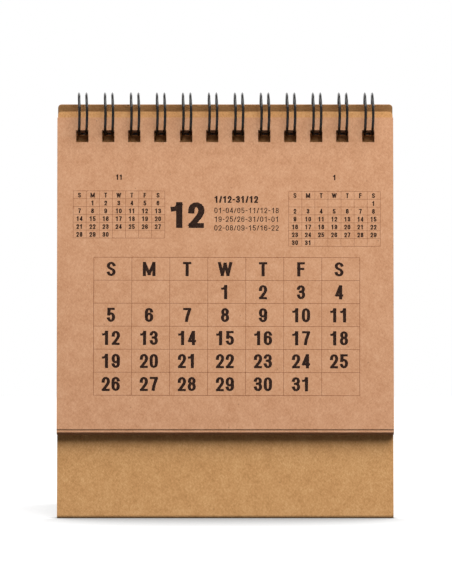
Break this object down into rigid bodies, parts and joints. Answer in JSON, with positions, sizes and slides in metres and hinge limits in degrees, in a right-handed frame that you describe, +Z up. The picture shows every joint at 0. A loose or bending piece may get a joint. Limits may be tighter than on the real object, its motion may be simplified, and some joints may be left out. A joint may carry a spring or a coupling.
{
  "type": "desk calendar",
  "caption": "Tent-shaped desk calendar of kraft board, with kraft month leaves that turn over a black twin-loop wire binding.",
  "frame": {"origin": "middle of the stand's underside", "axes": "+X to the right along the binding as the front is read, +Y to the back panel, +Z up"},
  "size_m": [0.1094, 0.067, 0.1371],
  "materials": {
    "kraft_board": "uncoated brown kraft board with fine fibres",
    "kraft_paper": "uncoated, slightly pink kraft paper, printed in black",
    "black_wire": "glossy black plastic-coated steel wire"
  },
  "bodies": {
    "stand": {"stand_front_panel": "kraft_board", "stand_base": "kraft_board", "stand_back_panel": "kraft_board", "wire_binding": "black_wire"},
    "leaf_01": {"leaf_01": "kraft_paper"},
    "leaf_02": {"leaf_02": "kraft_paper"},
    "leaf_03": {"leaf_03": "kraft_paper"},
    "leaf_04": {"leaf_04": "kraft_paper"},
    "leaf_05": {"leaf_05": "kraft_paper"},
    "leaf_06": {"leaf_06": "kraft_paper"},
    "leaf_07": {"leaf_07": "kraft_paper"},
    "leaf_08": {"leaf_08": "kraft_paper"},
    "leaf_09": {"leaf_09": "kraft_paper"},
    "leaf_10": {"leaf_10": "kraft_paper"},
    "leaf_11": {"leaf_11": "kraft_paper"},
    "leaf_12": {"leaf_12": "kraft_paper"},
    "leaf_13": {"leaf_13": "kraft_paper"}
  },
  "joints": [
    {"name": "leaf_01_turn", "type": "hinge", "parent": "leaf_02", "child": "leaf_01", "pos_m": [0, -0.00234, 0.12991], "axis": [-1, 0, 0], "range_deg": [0, 180]},
    {"name": "leaf_02_turn", "type": "hinge", "parent": "leaf_03", "child": "leaf_02", "pos_m": [0, -0.00234, 0.12991], "axis": [-1, 0, 0], "range_deg": [0, 180]},
    {"name": "leaf_03_turn", "type": "hinge", "parent": "leaf_04", "child": "leaf_03", "pos_m": [0, -0.00234, 0.12991], "axis": [-1, 0, 0], "range_deg": [0, 180]},
    {"name": "leaf_04_turn", "type": "hinge", "parent": "leaf_05", "child": "leaf_04", "pos_m": [0, -0.00234, 0.12991], "axis": [-1, 0, 0], "range_deg": [0, 180]},
    {"name": "leaf_05_turn", "type": "hinge", "parent": "leaf_06", "child": "leaf_05", "pos_m": [0, -0.00234, 0.12991], "axis": [-1, 0, 0], "range_deg": [0, 180]},
    {"name": "leaf_06_turn", "type": "hinge", "parent": "leaf_07", "child": "leaf_06", "pos_m": [0, -0.00234, 0.12991], "axis": [-1, 0, 0], "range_deg": [0, 180]},
    {"name": "leaf_07_turn", "type": "hinge", "parent": "leaf_08", "child": "leaf_07", "pos_m": [0, -0.00234, 0.12991], "axis": [-1, 0, 0], "range_deg": [0, 180]},
    {"name": "leaf_08_turn", "type": "hinge", "parent": "leaf_09", "child": "leaf_08", "pos_m": [0, -0.00234, 0.12991], "axis": [-1, 0, 0], "range_deg": [0, 180]},
    {"name": "leaf_09_turn", "type": "hinge", "parent": "leaf_10", "child": "leaf_09", "pos_m": [0, -0.00234, 0.12991], "axis": [-1, 0, 0], "range_deg": [0, 180]},
    {"name": "leaf_10_turn", "type": "hinge", "parent": "leaf_11", "child": "leaf_10", "pos_m": [0, -0.00234, 0.12991], "axis": [-1, 0, 0], "range_deg": [0, 180]},
    {"name": "leaf_11_turn", "type": "hinge", "parent": "leaf_12", "child": "leaf_11", "pos_m": [0, -0.00234, 0.12991], "axis": [-1, 0, 0], "range_deg": [0, 180]},
    {"name": "leaf_12_turn", "type": "hinge", "parent": "leaf_13", "child": "leaf_12", "pos_m": [0, -0.00234, 0.12991], "axis": [-1, 0, 0], "range_deg": [0, 180]},
    {"name": "leaf_13_turn", "type": "hinge", "parent": "stand", "child": "leaf_13", "pos_m": [0, -0.00234, 0.12991], "axis": [-1, 0, 0], "range_deg": [0, 180]}
  ]
}
